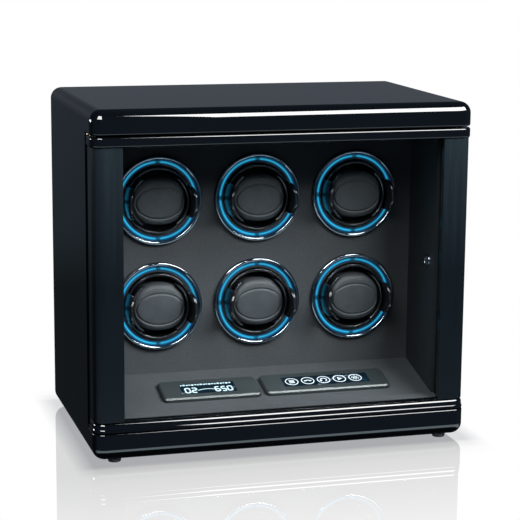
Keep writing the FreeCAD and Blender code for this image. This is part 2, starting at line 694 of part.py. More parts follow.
# ---- everything ----
def write_case():
    lock = lock_cutouts()
    save("top_panel", top_panel())
    save("base_panel", base_panel())
    save("left_side_panel", left_panel())
    save("right_side_panel", cut_all(right_panel(), lock))
    save("back_panel", back_panel())
    save("back_screws", *back_screws())
    save("feet", *[foot(x, y) for x, y in FOOT_PLACES])
    save("foot_screws", *[foot_screw(x, y) for x, y in FOOT_PLACES])
    save("power_socket", power_socket())
    save("pivot_bushes", *pivot_bushes())
    save("lock_barrel", *lock_barrels())
    save("fascia_board", fascia_board())
    save("ceiling_liner", ceiling_liner())
    save("left_liner", mirrored_x(right_liner()))
    save("right_liner", cut_all(right_liner(), lock))
    save("console_floor", console_floor())
    save("front_sill", front_sill())


def write_console():
    save("display_plate", console_plate(DISPLAY_X, DISPLAY_WINDOW))
    save("display_window", console_window(DISPLAY_WINDOW))
    save("touch_plate", console_plate(TOUCH_X, TOUCH_WINDOW))
    save("touch_window", console_window(TOUCH_WINDOW))
    save("control_board", control_board())


def write_cups():
    save("bezel_rings", *[bezel_ring(x, z) for x, z in CUPS])
    save("cup_housings", *[cup_housing(x, z) for x, z in CUPS])
    save("light_rings", *[light_ring(x, z) for x, z in CUPS])
    save("rotor_bearings", *[rotor_bearing(x, z) for x, z in CUPS])
    for i, (x, z) in enumerate(CUPS):
        save("rotor_%d" % (i + 1), rotor(x, z), pulley(x, z, SPINDLE_RADIUS, ROTOR_GROOVE, belt_y(i)))
        save("pillow_%d" % (i + 1), pillow(x, z))
        save("pillow_frame_%d" % (i + 1), pillow_frame(x, z))


def write_drive():
    columns = [x for x, z in CUPS[:3]]
    save("drive_belts", *[drive_belt(x, z, belt_y(i)) for i, (x, z) in enumerate(CUPS)])
    save("motor_brackets", *[motor_bracket(x) for x in columns])
    save("gear_motors", *[gear_motor(x) for x in columns])
    for i, x in enumerate(columns):
        save("motor_pulley_%d" % (i + 1), motor_pulley(x))


def write_door():
    save("door_top_rail", top_rail())
    save("door_bottom_rail", bottom_rail())
    save("door_left_stile", left_stile())
    save("door_right_stile", cut_all(right_stile(), keeper_recess()))
    save("door_glass", door_glass())
    save("glazing_beads", glazing_bead(-1), glazing_bead(1), glazing_strip())
    save("pivot_pins", *pivot_pins())
    save("door_keeper", door_keeper())
    save("lock_plug", lock_plug())
    save("lock_cam", lock_cam())


os.makedirs("parts", exist_ok=True)
write_case()
write_console()
write_cups()
write_drive()
write_door()
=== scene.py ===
"""The looks of a watch winder box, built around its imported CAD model.

The box has a black lacquered cabinet, a glass door, six winding cups with light rings, and a sloping
console with a display and five touch keys. Everything is in metres, in the CAD model's own frame:
+X is to the right, +Y is away from the front, +Z is up, and the feet stand on z = 0.
"""

import json
import math

import bmesh
import bpy
from mathutils import Matrix, Vector


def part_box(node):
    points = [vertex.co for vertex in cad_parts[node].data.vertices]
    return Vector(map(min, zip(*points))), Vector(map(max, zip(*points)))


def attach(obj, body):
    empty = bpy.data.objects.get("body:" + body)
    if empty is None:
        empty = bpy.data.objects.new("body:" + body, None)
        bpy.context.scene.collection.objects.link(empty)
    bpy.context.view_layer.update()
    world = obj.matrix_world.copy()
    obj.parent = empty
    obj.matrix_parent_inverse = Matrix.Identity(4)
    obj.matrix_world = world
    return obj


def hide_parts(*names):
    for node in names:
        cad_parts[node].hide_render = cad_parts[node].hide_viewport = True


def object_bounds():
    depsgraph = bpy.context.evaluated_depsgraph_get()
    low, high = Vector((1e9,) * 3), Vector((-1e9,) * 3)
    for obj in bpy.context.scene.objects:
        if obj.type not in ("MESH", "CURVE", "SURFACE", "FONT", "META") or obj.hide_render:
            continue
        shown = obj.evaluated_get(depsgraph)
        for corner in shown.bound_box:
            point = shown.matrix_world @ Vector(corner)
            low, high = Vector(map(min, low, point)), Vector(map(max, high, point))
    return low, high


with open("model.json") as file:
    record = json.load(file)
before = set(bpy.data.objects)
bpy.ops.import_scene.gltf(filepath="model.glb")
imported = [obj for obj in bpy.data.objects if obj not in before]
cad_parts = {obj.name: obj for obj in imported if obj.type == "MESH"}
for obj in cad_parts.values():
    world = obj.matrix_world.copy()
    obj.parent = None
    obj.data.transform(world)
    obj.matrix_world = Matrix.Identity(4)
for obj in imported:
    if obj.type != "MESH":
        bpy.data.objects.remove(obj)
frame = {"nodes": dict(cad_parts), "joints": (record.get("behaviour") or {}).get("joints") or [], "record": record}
cad_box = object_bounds()

MM = 0.001

# Camera, at the photograph's viewing angle.
AZIMUTH = math.radians(-16.032)
ELEVATION = math.radians(11.169)
ROLL = math.radians(0.480)
TARGET = Vector((7.123, 0.0, 167.063)) * MM
DISTANCE = 1774.777 * MM
LENS = 120.94
SENSOR_WIDTH = 36.0

# Softboxes: each one's azimuth, distance along the floor and height above the box's middle, how far
# it leans towards the box, its width and height, how bright it is, and what it acts on.
SOFTBOXES = [
    ("key_softbox", 39.0, 1.8, 1.70, 0.0, (1.80, 1.62), 27.0, "everything"),
    ("side_softbox", -33.0, 1.8, 1.68, 0.0, (1.30, 1.60), 22.0, "mirrors"),
    ("low_softbox", -122.0, 1.8, 0.19, 0.0, (0.70, 0.24), 18.0, "mirrors"),
    ("top_softbox", -50.0, 1.0, 1.73, 60.0, (1.00, 0.80), 20.0, "soft surfaces"),
]

# The studio around the box, as (elevation in degrees, linear colour), for what the lacquer mirrors.
REAR_GLOW = [
    (-90.0, (0.013, 0.018, 0.022)),
    (-12.0, (0.016, 0.021, 0.023)),
    (-10.3, (0.034, 0.045, 0.058)),
    (-6.0, (0.045, 0.057, 0.073)),
    (5.2, (0.098, 0.111, 0.134)),
    (7.5, (0.100, 0.113, 0.136)),
    (17.0, (0.030, 0.045, 0.065)),
    (42.0, (0.030, 0.045, 0.065)),
    (60.0, (0.036, 0.054, 0.078)),
    (90.0, (0.050, 0.080, 0.120)),
]
FRONT_GLOW = [
    (-90.0, (0.010, 0.012, 0.015)),
    (-42.0, (0.030, 0.035, 0.045)),
    (-36.0, (2.200, 2.700, 3.000)),
    (-25.0, (2.200, 2.700, 3.000)),
    (-18.0, (0.100, 0.150, 0.220)),
    (10.0, (0.080, 0.120, 0.180)),
    (45.0, (0.060, 0.090, 0.130)),
    (60.0, (0.036, 0.056, 0.080)),
    (90.0, (0.050, 0.080, 0.120)),
]
AMBIENT = (0.065, 0.074, 0.082)
WHITE = (1.0, 1.0, 1.0)

# The floor's half size, how far its shade reaches in front of the box and past its sides, and how
# strong its mirror image is and over what distance from the box it fades.
FLOOR_HALF_SIZE = 4.0
SHADE_REACH = 0.055
SHADE_OVERHANG = 0.020
MIRROR_STRENGTH = 0.31
MIRROR_FADE = (0.02, 0.36)


# --- node and mesh helpers ---------------------------------------------------------------------


class Nodes:
    """Adds nodes to one node tree. An input is given as a value, or as another node's output."""

    def __init__(self, tree):
        self.tree = tree
        tree.nodes.clear()

    def add(self, kind, inputs=None, **settings):
        """Adds a node, sets it up and fills or joins its inputs."""
        node = self.tree.nodes.new(kind)
        for name, value in settings.items():
            setattr(node, name, value)
        for name, value in (inputs or {}).items():
            if isinstance(value, bpy.types.NodeSocket):
                self.tree.links.new(value, node.inputs[name])
            else:
                socket = node.inputs[name]
                is_colour = socket.type == "RGBA"
                socket.default_value = (*value, 1.0) if is_colour and len(value) == 3 else value
        return node

    def math(self, operation, first, second=0.0):
        """One arithmetic step."""
        return self.add("ShaderNodeMath", {0: first, 1: second}, operation=operation).outputs[0]

    def length(self, across, up):
        """The length of a step across and a step up."""
        squares = [self.math("MULTIPLY", step, step) for step in (across, up)]
        return self.math("SQRT", self.math("ADD", squares[0], squares[1]))

    def fold(self, coordinate, first, pitch):
        """The distance along one axis to the nearest of evenly spaced middles."""
        steps = self.math("DIVIDE", self.math("SUBTRACT", coordinate, first), pitch)
        nearest = self.math("ROUND", steps)
        return self.math("MULTIPLY", self.math("SUBTRACT", steps, nearest), pitch)

    def place(self):
        """The point in the object's own frame, in metres."""
        return self.add("ShaderNodeTexCoord").outputs["Object"]

    def axes(self, vector):
        """The x, y and z of a vector."""
        return self.add("ShaderNodeSeparateXYZ", {0: vector}).outputs

    def stretched(self, scale):
        """The object's own frame, scaled by a factor for each axis."""
        return self.add("ShaderNodeMapping", {"Vector": self.place(), "Scale": scale}).outputs[0]

    def noise(self, scale, detail=2.0, roughness=0.5, vector=None):
        """Smooth noise, from 0 to 1, with this many features to the metre."""
        inputs = {"Vector": vector or self.place(), "Scale": scale, "Detail": detail}
        inputs["Roughness"] = roughness
        return self.add("ShaderNodeTexNoise", inputs).outputs[0]

    def cells(self, scale, feature="F1"):
        """Cell noise: the distance to the nearest cell's middle, or to its edge."""
        inputs = {"Vector": self.place(), "Scale": scale}
        return self.add("ShaderNodeTexVoronoi", inputs, feature=feature).outputs["Distance"]

    def spread(self, value, low, high, start=0.0, end=1.0):
        """A value from start to end, spread over low to high and held there."""
        inputs = {"Value": value, "From Min": start, "From Max": end, "To Min": low, "To Max": high}
        return self.add("ShaderNodeMapRange", inputs).outputs[0]

    def ramp(self, value, stops, easing="LINEAR"):
        """A colour ramp over (position, colour) stops."""
        node = self.add("ShaderNodeValToRGB", {0: value})
        node.color_ramp.interpolation = easing
        points = node.color_ramp.elements
        while len(points) < len(stops):
            points.new(1.0)
        for point, (position, colour) in zip(points, stops):
            point.position = position
            point.color = (*colour, 1.0)
        return node.outputs[0]

    def mix(self, share, first, second, blend="MIX"):
        """A blend of two colours."""
        inputs = {0: share, 6: first, 7: second}
        return self.add("ShaderNodeMix", inputs, data_type="RGBA", blend_type=blend).outputs[2]

    def bump(self, height, distance):
        """The surface normal, raised by a height from 0 to 1 times a distance in metres."""
        return self.add("ShaderNodeBump", {"Height": height, "Distance": distance}).outputs[0]

    def principled(self, **inputs):
        """A Principled shader; underscores in the names stand for spaces."""
        inputs = {name.replace("_", " "): value for name, value in inputs.items()}
        return self.add("ShaderNodeBsdfPrincipled", inputs).outputs[0]

    def finish(self, shader, kind="ShaderNodeOutputMaterial"):
        """Joins a shader to the tree's output."""
        self.add(kind, {"Surface": shader})


def new_material(name):
    """An empty material and the nodes of its tree."""
    material = bpy.data.materials.new(name)
    material.use_nodes = True
    return material, Nodes(material.node_tree)


def new_object(name, shape, material=None):
    """A mesh object from a bmesh or a mesh."""
    mesh = shape
    if isinstance(shape, bmesh.types.BMesh):
        mesh = bpy.data.meshes.new(name)
        shape.to_mesh(mesh)
        shape.free()
    made = bpy.data.objects.new(name, mesh)
    bpy.context.scene.collection.objects.link(made)
    if material:
        mesh.materials.append(material)
    return made


def scaled(tone, factor):
    """A colour made lighter or darker by a factor."""
    return tuple(part * factor for part in tone)


# --- materials ---------------------------------------------------------------------------------


def lacquer():
    """Black piano lacquer, with a faint orange peel."""
    material, nodes = new_material("black_lacquer")
    depth = nodes.noise(6.0, 3.0)
    colour = nodes.ramp(depth, [(0.3, (0.0005, 0.0007, 0.0010)), (0.7, (0.0008, 0.0011, 0.0015))])
    polish = nodes.spread(nodes.noise(45.0, 4.0, 0.6), 0.018, 0.034, 0.3, 0.7)
    peel = nodes.noise(170.0, 1.0)
    nodes.finish(nodes.principled(
        Base_Color=colour, Roughness=polish, IOR=1.5, Normal=nodes.bump(peel, 0.0000025)))
    return material


def grained_veneer():
    """Dark veneer with its grain upright: satin on the door, with a painted highlight that makes its upper half
    paler, and duller inside.
    """
    material, nodes = new_material("grained_veneer")
    fine = nodes.noise(1.0, 4.0, 0.65, nodes.stretched((1500.0, 1500.0, 22.0)))
    broad = nodes.noise(1.0, 2.0, 0.5, nodes.stretched((260.0, 260.0, 5.0)))
    grain = nodes.math("ADD", nodes.math("MULTIPLY", fine, 0.65), nodes.math("MULTIPLY", broad, 0.35))
    low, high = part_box("left_liner")
    axes = nodes.axes(nodes.place())
    inside = nodes.spread(axes["Y"], 0.0, 1.0, low.y - 1.0 * MM, low.y)
    # Painted highlight: the upper-half mask blends the door's colour into a paler copy, standing in for the sheen
    # of the lights above on the satin.
    upper = nodes.spread(axes["Z"], 0.0, 1.0, (low.z + high.z) / 2, high.z)
    door = nodes.ramp(grain, [(0.32, (0.0006, 0.0012, 0.0016)), (0.68, (0.0022, 0.0040, 0.0052))])
    door_painted_sheen = nodes.ramp(grain, [(0.32, (0.0040, 0.0068, 0.0082)), (0.68, (0.0110, 0.0170, 0.0200))])
    wall = nodes.ramp(grain, [(0.32, (0.0150, 0.0180, 0.0205)), (0.68, (0.0280, 0.0325, 0.0370))])
    colour = nodes.mix(inside, nodes.mix(upper, door, door_painted_sheen), wall)
    satin = nodes.spread(grain, 0.19, 0.12, 0.3, 0.7)
    satin = nodes.math("ADD", satin, nodes.math("MULTIPLY", inside, 0.32))
    nodes.finish(nodes.principled(
        Base_Color=colour, Roughness=satin, IOR=1.5, Specular_IOR_Level=0.40,
        Normal=nodes.bump(grain, 0.00006)))
    return material


def back_board():
    """A board with a pebbled black foil."""
    material, nodes = new_material("foiled_board")
    pebble = nodes.cells(900.0)
    cloud = nodes.noise(9.0, 4.0)
    colour = nodes.ramp(cloud, [(0.3, (0.0090, 0.0095, 0.0110)), (0.7, (0.0150, 0.0155, 0.0175))])
    rough = nodes.spread(cloud, 0.42, 0.55, 0.3, 0.7)
    nodes.finish(nodes.principled(
        Base_Color=colour, Roughness=rough, Normal=nodes.bump(pebble, 0.00008)))
    return material


def lining():
    """Dark grey velour with a short nap."""
    material, nodes = new_material("velour_lining")
    nap = nodes.noise(2600.0, 3.0, 0.7)
    tufts = nodes.noise(420.0, 3.0, 0.6)
    stroke = nodes.noise(14.0, 3.0, 0.55)
    pile = nodes.math("ADD", nodes.math("MULTIPLY", nap, 0.6), nodes.math("MULTIPLY", tufts, 0.4))
    colour = nodes.ramp(pile, [(0.30, (0.025, 0.027, 0.031)), (0.70, (0.051, 0.055, 0.062))])
    brushed = nodes.ramp(stroke, [(0.30, (0.86, 0.86, 0.86)), (0.70, (1.12, 1.12, 1.12))])
    shaded = nodes.mix(1.0, colour, brushed, "MULTIPLY")
    nodes.finish(nodes.principled(
        Base_Color=shaded, Roughness=0.92, IOR=1.4, Sheen_Weight=0.03, Sheen_Roughness=0.45,
        Normal=nodes.bump(pile, 0.00025)))
    return material


def bezel_chrome():
    """Dark polished chrome, with faint wipe marks."""
    material, nodes = new_material("dark_chrome")
    wipe = nodes.noise(1.0, 3.0, 0.6, nodes.stretched((220.0, 60.0, 90.0)))
    colour = nodes.ramp(wipe, [(0.3, (0.17, 0.19, 0.21)), (0.7, (0.23, 0.25, 0.275))])
    polish = nodes.spread(wipe, 0.07, 0.12, 0.3, 0.7)
    nodes.finish(nodes.principled(Base_Color=colour, Metallic=1.0, Roughness=polish))
    return material


def metal(name, tone, roughness, brushing):
    """Brushed bare metal; brushing is how many marks there are to the metre along each axis."""
    material, nodes = new_material(name)
    marks = nodes.noise(1.0, 4.0, 0.6, nodes.stretched(brushing))
    colour = nodes.ramp(marks, [(0.3, scaled(tone, 0.85)), (0.7, scaled(tone, 1.1))])
    rough = nodes.spread(marks, roughness - 0.06, roughness + 0.06, 0.3, 0.7)
    nodes.finish(nodes.principled(
        Base_Color=colour, Metallic=1.0, Roughness=rough, Normal=nodes.bump(marks, 0.00001)))
    return material


def moulded(name, tone, roughness, texture=1400.0, depth=0.00002):
    """Moulded plastic or rubber, with the fine texture of its mould."""
    material, nodes = new_material(name)
    spark = nodes.noise(texture, 2.0, 0.6)
    flow = nodes.noise(30.0, 3.0, 0.5)
    colour = nodes.ramp(flow, [(0.3, scaled(tone, 0.85)), (0.7, scaled(tone, 1.2))])
    rough = nodes.spread(flow, roughness * 0.85, roughness * 1.15, 0.3, 0.7)
    nodes.finish(nodes.principled(
        Base_Color=colour, Roughness=rough, Normal=nodes.bump(spark, depth)))
    return material


def circuit_board():
    """Green solder mask over a pattern of tracks."""
    material, nodes = new_material("circuit_board_mask")
    tracks = nodes.cells(260.0, "DISTANCE_TO_EDGE")
    colour = nodes.ramp(tracks, [(0.03, (0.05, 0.22, 0.09)), (0.06, (0.012, 0.075, 0.030))])
    nodes.finish(nodes.principled(
        Base_Color=colour, Roughness=0.35, Normal=nodes.bump(tracks, 0.00003)))
    return material


def pillow_leather():
    """Dark grey leather with a fine pebble grain."""
    material, nodes = new_material("pillow_leather")
    pebble = nodes.cells(1500.0)
    crease = nodes.cells(480.0, "DISTANCE_TO_EDGE")
    shade = nodes.noise(60.0, 4.0, 0.6)
    domes = nodes.math("MULTIPLY", pebble, -0.5)
    height = nodes.math("ADD", domes, nodes.spread(crease, 0.0, 0.5, 0.0, 0.2))
    colour = nodes.ramp(shade, [(0.3, (0.026, 0.029, 0.034)), (0.7, (0.040, 0.044, 0.051))])
    rough = nodes.spread(pebble, 0.46, 0.62, 0.1, 0.6)
    nodes.finish(nodes.principled(
        Base_Color=colour, Roughness=rough, Specular_IOR_Level=0.4,
        Normal=nodes.bump(height, 0.00012)))
    return material


def gloss_plastic(name, tone, roughness):
    """Polished black plastic with faint flow marks."""
    material, nodes = new_material(name)
    flow = nodes.noise(24.0, 3.0, 0.55)
    colour = nodes.ramp(flow, [(0.3, scaled(tone, 0.8)), (0.7, scaled(tone, 1.25))])
    rough = nodes.spread(flow, roughness * 0.8, roughness * 1.25, 0.3, 0.7)
    nodes.finish(nodes.principled(
        Base_Color=colour, Roughness=rough, IOR=1.5, Normal=nodes.bump(flow, 0.00001)))
    return material


def door_glass():
    """Clear flat glass: it lets light straight through and mirrors a little at its surface."""
    material, nodes = new_material("clear_glass")
    film = nodes.noise(18.0, 3.0, 0.5)
    tint = nodes.ramp(film, [(0.3, (0.955, 0.975, 0.975)), (0.7, (0.975, 0.990, 0.990))])
    clear = nodes.add("ShaderNodeBsdfTransparent", {"Color": tint}).outputs[0]
    shine = nodes.add("ShaderNodeBsdfGlossy", {"Color": WHITE, "Roughness": 0.03}).outputs[0]
    facing = nodes.add("ShaderNodeLayerWeight", {"Blend": 0.12}).outputs["Fresnel"]
    share = nodes.math("MULTIPLY", facing, 0.35)
    nodes.finish(nodes.add("ShaderNodeMixShader", {0: share, 1: clear, 2: shine}).outputs[0])
    return material


def console_metal():
    """Satin anodised plate, brushed along its length."""
    material, nodes = new_material("anodised_plate")
    marks = nodes.noise(1.0, 4.0, 0.6, nodes.stretched((40.0, 1600.0, 1600.0)))
    colour = nodes.ramp(marks, [(0.3, (0.019, 0.024, 0.026)), (0.7, (0.028, 0.034, 0.036))])
    rough = nodes.spread(marks, 0.34, 0.44, 0.3, 0.7)
    nodes.finish(nodes.principled(
        Base_Color=colour, Roughness=rough, IOR=1.5, Normal=nodes.bump(marks, 0.000012)))
    return material


def console_glass():
    """A dark blue display window, with the faint dot grid of its panel."""
    material, nodes = new_material("display_glass")
    axes = nodes.axes(nodes.place())
    dots = [nodes.math("SINE", nodes.math("MULTIPLY", axes[axis], 2.0 * math.pi / (0.6 * MM)))
            for axis in ("X", "Y")]
    grid = nodes.spread(nodes.math("MULTIPLY", dots[0], dots[1]), 0.0, 1.0, -1.0, 1.0)
    glow = nodes.ramp(grid, [(0.0, (0.0012, 0.0075, 0.0140)), (1.0, (0.0028, 0.0135, 0.0250))])
    nodes.finish(nodes.principled(
        Base_Color=(0.001, 0.003, 0.005), Roughness=0.06, IOR=1.5,
        Emission_Color=glow, Emission_Strength=1.0))
    return material


def lit_symbol(name, tone, strength):
    """A printed symbol lit from behind, with a faint grain in its glow."""
    material, nodes = new_material(name)
    grain = nodes.noise(900.0, 2.0, 0.5)
    glow = nodes.ramp(grain, [(0.3, scaled(tone, 0.85)), (0.7, tone)])
    nodes.finish(nodes.principled(
        Base_Color=scaled(tone, 0.3), Roughness=0.4, Emission_Color=glow, Emission_Strength=strength))
    return material


LIGHT_BAND = 4.3 * MM


def light_guide(centres):
    """The acrylic light rings: a bright core between darker edges, dimmer where two arcs meet.

    Each ring is brighter at its lower left.
    """
    material, nodes = new_material("blue_light_guide")
    low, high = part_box("light_rings")
    columns = sorted({round(centre.x, 4) for centre in centres})
    rows = sorted({round(centre.z, 4) for centre in centres})
    axes = nodes.axes(nodes.place())
    across = nodes.fold(axes["X"], columns[0], columns[1] - columns[0])
    up = nodes.fold(axes["Z"], rows[0], rows[1] - rows[0])
    outer = (high.x - low.x - (columns[-1] - columns[0])) / 2
    radius = nodes.length(across, up)
    band = nodes.spread(radius, 0.0, 1.0, outer - LIGHT_BAND, outer)
    core = nodes.ramp(band, [
        (0.00, (0.000, 0.010, 0.035)),
        (0.20, (0.001, 0.050, 0.140)),
        (0.32, (0.018, 0.330, 0.530)),
        (0.55, (0.022, 0.360, 0.560)),
        (0.72, (0.001, 0.060, 0.160)),
        (1.00, (0.000, 0.012, 0.040)),
    ])
    angle = nodes.math("ARCTAN2", across, up)
    joint = nodes.math("ABSOLUTE", nodes.fold(angle, 0.0, math.pi / 2))
    level = nodes.spread(joint, 0.25, 1.0, 0.050, 0.085)
    away = nodes.math("MULTIPLY", radius, -1.0)
    lower_left = nodes.math("DIVIDE", nodes.math("ADD", across, up), away)
    level = nodes.math("MULTIPLY", level, nodes.spread(lower_left, 1.0, 1.35, 0.7, math.sqrt(2.0)))
    ripple = nodes.math("MULTIPLY", level, nodes.spread(nodes.noise(70.0), 0.9, 1.1, 0.3, 0.7))
    nodes.finish(nodes.principled(
        Base_Color=(0.004, 0.050, 0.110), Roughness=0.22, IOR=1.49,
        Emission_Color=core, Emission_Strength=ripple))
    return material


def floor_material():
    """Pale glossy floor: a shade in front of and behind the box, and a mirror image that fades."""
    material, nodes = new_material("pale_floor")
    low, high = cad_box
    axes = nodes.axes(nodes.place())
    beyond = []
    for axis, half in (("X", (high.x - low.x) / 2), ("Y", (high.y - low.y) / 2)):
        past = nodes.math("SUBTRACT", nodes.math("ABSOLUTE", axes[axis]), half)
        beyond.append(nodes.math("MAXIMUM", past, 0.0))
    distance = nodes.length(beyond[0], beyond[1])
    contact = nodes.ramp(nodes.spread(beyond[1], 0.0, 1.0, 0.0, SHADE_REACH), [
        (0.00, (0.58, 0.59, 0.61)),
        (0.25, (0.82, 0.82, 0.83)),
        (0.60, (0.96, 0.96, 0.96)),
        (1.00, WHITE),
    ], "EASE")
    shade = nodes.mix(nodes.spread(beyond[0], 0.0, 1.0, 0.0, SHADE_OVERHANG), contact, WHITE)
    mirror = nodes.spread(distance, MIRROR_STRENGTH, 0.0, *MIRROR_FADE)
    glow = nodes.add("ShaderNodeEmission", {"Color": shade, "Strength": 1.0}).outputs[0]
    shine = nodes.add("ShaderNodeBsdfGlossy", {"Color": WHITE, "Roughness": 0.0}).outputs[0]
    nodes.finish(nodes.add("ShaderNodeMixShader", {0: mirror, 1: glow, 2: shine}).outputs[0])
    material.cycles.emission_sampling = "NONE"
    return material


def dress_cad_nodes(finishes):
    """Gives every CAD node the finish of its slot in the record."""
    for subpart in frame["record"]["subparts"]:
        node = frame["nodes"][subpart["node"]]
        for index in range(len(node.material_slots)):
            node.material_slots[index].material = finishes[subpart["material_slot"]]


# --- pillows -----------------------------------------------------------------------------------

PILLOW_INSET = 0.5 * MM
PILLOW_ROUNDING = 5.0 * MM
PILLOW_CROWN = 1.6 * MM
PILLOW_SQUARENESS = 2.4
PILLOW_WAIST = 0.985
ROUND_STEPS = 5
SWELL_LIMIT = 1.6 * MM
VOXEL = 2.2 * MM
CLOTH_FRAMES = 20
OVAL_HALF_WIDTH = 24.0 * MM
OVAL_HALF_HEIGHT = 15.8 * MM
OVAL_DROP = 1.5 * MM
GROOVE_WIDTH = 0.75 * MM
GROOVE_DEPTH = 1.0 * MM
SEAM_WIDTH = 0.7 * MM
SEAM_DEPTH = 0.4 * MM


def pillow_ring(half_width, half_height, share, y, count=48):
    """One loop of the squarish outline, at a share of its full size."""
    power = 2.0 / PILLOW_SQUARENESS
    points = []
    for step in range(count):
        angle = 2.0 * math.pi * step / count
        cosine, sine = math.cos(angle), math.sin(angle)
        x = math.copysign(abs(cosine) ** power, cosine) * half_width * share
        z = math.copysign(abs(sine) ** power, sine) * half_height * share
        points.append(Vector((x, y, z)))
    return points


def pillow_profile(front, back, half_width):
    """(share of the outline, y) from the crowned front, round its edge, to the back."""
    profile = [(share, front + PILLOW_CROWN * share ** 2) for share in (0.2, 0.5, 0.8)]
    for end, sign in ((front + PILLOW_CROWN, 1.0), (back, -1.0)):
        turn = [(index + 0.5) * math.pi / (2 * ROUND_STEPS) for index in range(ROUND_STEPS)]
        if sign < 0:
            turn.reverse()
        for angle in turn:
            share = 1.0 - PILLOW_ROUNDING / half_width * (1.0 - math.sin(angle))
            profile.append((share, end + sign * PILLOW_ROUNDING * (1.0 - math.cos(angle))))
        if sign > 0:
            profile.append((PILLOW_WAIST, (front + back) / 2))
    return profile + [(0.5, back)]


def pillow_form(low, high):
    """The pillow before it is stuffed: a squarish drum, a little smaller than its CAD solid."""
    half_width = (high.x - low.x) / 2 - PILLOW_INSET
    half_height = (high.z - low.z) / 2 - PILLOW_INSET
    profile = pillow_profile(low.y + PILLOW_INSET, high.y - PILLOW_INSET, half_width)
    form = bmesh.new()
    loops = []
    for share, y in profile:
        loops.append([form.verts.new(p) for p in pillow_ring(half_width, half_height, share, y)])
    for first, second in zip(loops, loops[1:]):
        for index in range(len(first)):
            after = (index + 1) % len(first)
            form.faces.new((first[index], second[index], second[after], first[after]))
    form.faces.new(loops[0])
    form.faces.new(reversed(loops[-1]))
    bmesh.ops.recalc_face_normals(form, faces=form.faces)
    return form


def applied(piece, kind, **settings):
    """Replaces a piece's mesh by what one modifier makes of it."""
    modifier = piece.modifiers.new("step", kind)
    for name, value in settings.items():
        setattr(modifier, name, value)
    view = bpy.context.evaluated_depsgraph_get()
    mesh = bpy.data.meshes.new_from_object(piece.evaluated_get(view), depsgraph=view)
    piece.modifiers.clear()
    piece.data = mesh


def stuff(piece):
    """Swells the cloth shell with Blender's Cloth, and holds each point near where it began."""
    start = [vertex.co.copy() for vertex in piece.data.vertices]
    cloth = piece.modifiers.new("cloth", "CLOTH")
    cloth.settings.use_pressure = True
    cloth.settings.uniform_pressure_force = 4.0
    cloth.settings.effector_weights.gravity = 0.0
    cloth.settings.quality = 5
    for number in range(1, CLOTH_FRAMES + 1):
        bpy.context.scene.frame_set(number)
    view = bpy.context.evaluated_depsgraph_get()
    swollen = [vertex.co.copy() for vertex in piece.evaluated_get(view).data.vertices]
    piece.modifiers.clear()
    bpy.context.scene.frame_set(1)
    for vertex, before, after in zip(piece.data.vertices, start, swollen):
        move = after - before
        if move.length > SWELL_LIMIT:
            move = move.normalized() * SWELL_LIMIT
        vertex.co = before + move


def press_oval(piece, front):
    """Presses an oval line into the crowned front, and a seam round its side."""
    seam = front + PILLOW_ROUNDING + PILLOW_CROWN
    normals = [vertex.normal.copy() for vertex in piece.data.vertices]
    for vertex, normal in zip(piece.data.vertices, normals):
        x, y, z = vertex.co
        rise = z + OVAL_DROP
        ratio = math.hypot(x / OVAL_HALF_WIDTH, rise / OVAL_HALF_HEIGHT)
        if normal.y < -0.5:
            slope = math.hypot(x / OVAL_HALF_WIDTH ** 2, rise / OVAL_HALF_HEIGHT ** 2)
            slope /= max(ratio, 0.01)
            gap = (ratio - 1.0) / max(slope, 1.0)
            vertex.co.y += GROOVE_DEPTH * math.exp(-(gap / GROOVE_WIDTH) ** 2)
        elif abs(normal.y) < 0.5:
            vertex.co -= normal * SEAM_DEPTH * math.exp(-((y - seam) / SEAM_WIDTH) ** 2)


def make_pillow():
    """One stuffed leather pillow, centred on its cup's axis."""
    low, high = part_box("pillow_1")
    middle = Vector(((low.x + high.x) / 2, 0.0, (low.z + high.z) / 2))
    pillow = new_object("pillow_form", pillow_form(low - middle, high - middle))
    applied(pillow, "REMESH", mode="VOXEL", voxel_size=VOXEL)
    stuff(pillow)
    applied(pillow, "SUBSURF", levels=2, render_levels=2)
    press_oval(pillow, low.y)
    for polygon in pillow.data.polygons:
        polygon.use_smooth = True
    mesh = pillow.data
    bpy.data.objects.remove(pillow)
    return mesh


def add_pillows(centres, leather):
    """Puts a pillow in each cup, in place of its plain CAD solid."""
    shape = make_pillow()
    for number, centre in enumerate(centres, 1):
        pillow = new_object(f"stuffed_pillow_{number}", shape.copy(), leather)
        pillow.location = (centre.x, 0.0, centre.z)
        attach(pillow, f"watch_holder_{number}")
        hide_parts(f"pillow_{number}")


# --- console symbols ---------------------------------------------------------------------------

CONSOLE_SLOPE = math.radians(14.1)
WINDOW_THICKNESS = 1.2 * MM

# The drawings are in millimetres, from the middle of their window.
SYMBOL_THICKNESS = 0.15
KEY_RADIUS = 6.8
KEY_STROKE = 0.85
KEY_PITCH = 16.75
FIRST_KEY = 9.5
KEY_NAMES = ("menu", "mode", "direction", "start", "light")
FIGURE_FOOT = -7.8
MARK_COUNT = 18
MARK_START = -26.8
MARK_LEVEL = 7.0
MARK_STROKE = 2.6
MARK_GAP = 0.3
# Which of its seven strokes each figure lights.
SEGMENTS = {"0": "abcdef", "2": "abged", "5": "acdfg", "6": "acdefg"}


def window_place(node):
    """The matrix that lays a drawing in millimetres on a console window: x right, y up the slope."""
    low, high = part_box(node)
    tilt = Matrix.Rotation(CONSOLE_SLOPE, 4, "X")
    lift = Matrix.Translation((0.0, 0.0, WINDOW_THICKNESS / 2))
    return Matrix.Translation((low + high) / 2) @ tilt @ lift @ Matrix.Scale(MM, 4)


